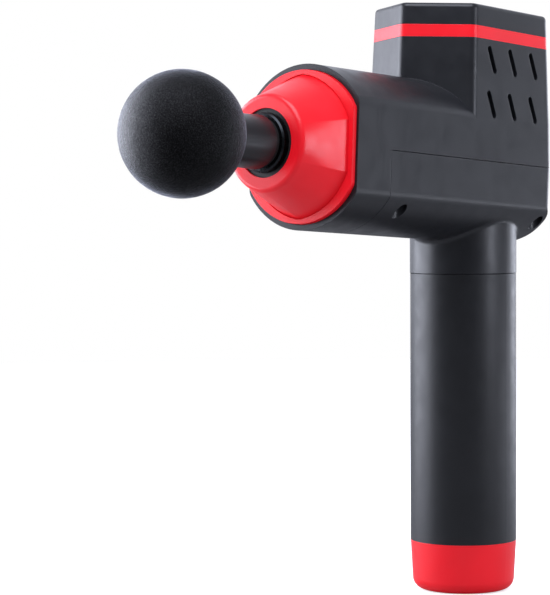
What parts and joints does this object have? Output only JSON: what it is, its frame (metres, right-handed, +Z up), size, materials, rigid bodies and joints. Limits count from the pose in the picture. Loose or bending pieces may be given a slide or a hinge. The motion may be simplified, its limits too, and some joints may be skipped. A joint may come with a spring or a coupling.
{
  "type": "massage gun",
  "caption": "Percussion massage gun with an upright battery handle, a vented motor block, a red hexagonal nose and a pull-out foam ball on a reciprocating piston.",
  "frame": {"origin": "centre of the flat foot under the handle", "axes": "+Z up along the handle's axis, -Y towards the nose and the ball, +X to the side"},
  "size_m": [0.0584, 0.2425, 0.2638],
  "materials": {
    "charcoal_casing": "matte, slightly grained",
    "red_trim": "satin",
    "handle_coating": "satin dark grey",
    "foam": "matte speckled foam skin",
    "stem_plastic": "semi-gloss",
    "black_rubber": "matte",
    "inner_plastic": "plain moulded",
    "black_screw": "black oxide",
    "steel": "machined",
    "alloy": "satin",
    "bronze": "sintered",
    "copper": "enamelled wire",
    "iron": "laminated",
    "magnet": "nickel plated",
    "socket_metal": "dark plated",
    "cell_wrap": "shrink wrap",
    "board": "solder mask",
    "panel_gloss": "gloss",
    "light_lens": "frosted",
    "wire_skin": "satin"
  },
  "bodies": {
    "housing": {"upper_shell": "charcoal_casing", "lower_cover": "charcoal_casing", "accent_band": "red_trim", "top_cap": "charcoal_casing", "nose_cone": "red_trim", "nose_seal": "black_rubber", "shell_screws": "black_screw", "motor_plate": "alloy", "plate_screws": "black_screw", "motor_base": "alloy", "motor_screws": "black_screw", "stator_core": "iron", "stator_windings": "copper", "motor_bearings": "steel", "rod_carrier": "alloy", "carrier_screws": "black_screw", "rod_bushing": "bronze", "guide_rails": "bronze", "handle_sleeve": "handle_coating", "neck_screws": "black_screw", "end_cap": "red_trim", "battery_cells": "cell_wrap", "cell_holders": "inner_plastic", "cell_tabs": "steel", "battery_board": "board", "charge_socket": "panel_gloss", "charge_contact": "steel", "power_switch": "inner_plastic", "control_panel": "panel_gloss", "level_lights": "light_lens", "control_board": "board", "button_switch": "inner_plastic", "board_screws": "black_screw", "motor_leads": "wire_skin", "battery_leads": "wire_skin"},
    "crank": {"rotor_can": "steel", "rotor_magnets": "magnet", "motor_shaft": "steel", "crank_wheel": "steel", "crank_pin": "steel"},
    "slider": {"slide_block": "bronze"},
    "piston": {"yoke": "alloy", "piston_rod": "steel", "attachment_socket": "socket_metal", "socket_bumper": "black_rubber"},
    "attachment": {"ball_head": "foam", "ball_stem": "stem_plastic", "stem_rings": "black_rubber"},
    "speed_key": {"speed_button": "charcoal_casing"},
    "power_key": {"power_button": "charcoal_casing"}
  },
  "joints": [
    {"name": "crank_spin", "type": "hinge", "parent": "housing", "child": "crank", "pos_m": [0, -0.00599, 0.19334], "axis": [0, 0.0567, 0.9984], "range_deg": [0, 180]},
    {"name": "slider_turn", "type": "hinge", "parent": "crank", "child": "slider", "pos_m": [0, 0, 0.193], "axis": [0, 0.0567, 0.9984], "range_deg": [-180, 0]},
    {"name": "piston_stroke", "type": "slide", "parent": "housing", "child": "piston", "axis": [0, -0.9984, 0.0567], "range_m": [0, 0.0123]},
    {"name": "attachment_pull", "type": "slide", "parent": "piston", "child": "attachment", "axis": [0, -0.9984, 0.0567], "range_m": [0, 0.034]},
    {"name": "speed_press", "type": "slide", "parent": "housing", "child": "speed_key", "axis": [0, -0.9999, -0.0164], "range_m": [0, 0.0008]},
    {"name": "power_press", "type": "slide", "parent": "housing", "child": "power_key", "axis": [0, 0, 1], "range_m": [0, 0.0015]}
  ],
  "couplings": [
    {"joint": "slider_turn", "follows": "crank_spin", "ratio": -1},
    {"joint": "piston_stroke", "follows": "crank_spin", "m_per_rad": 0.0038197}
  ]
}
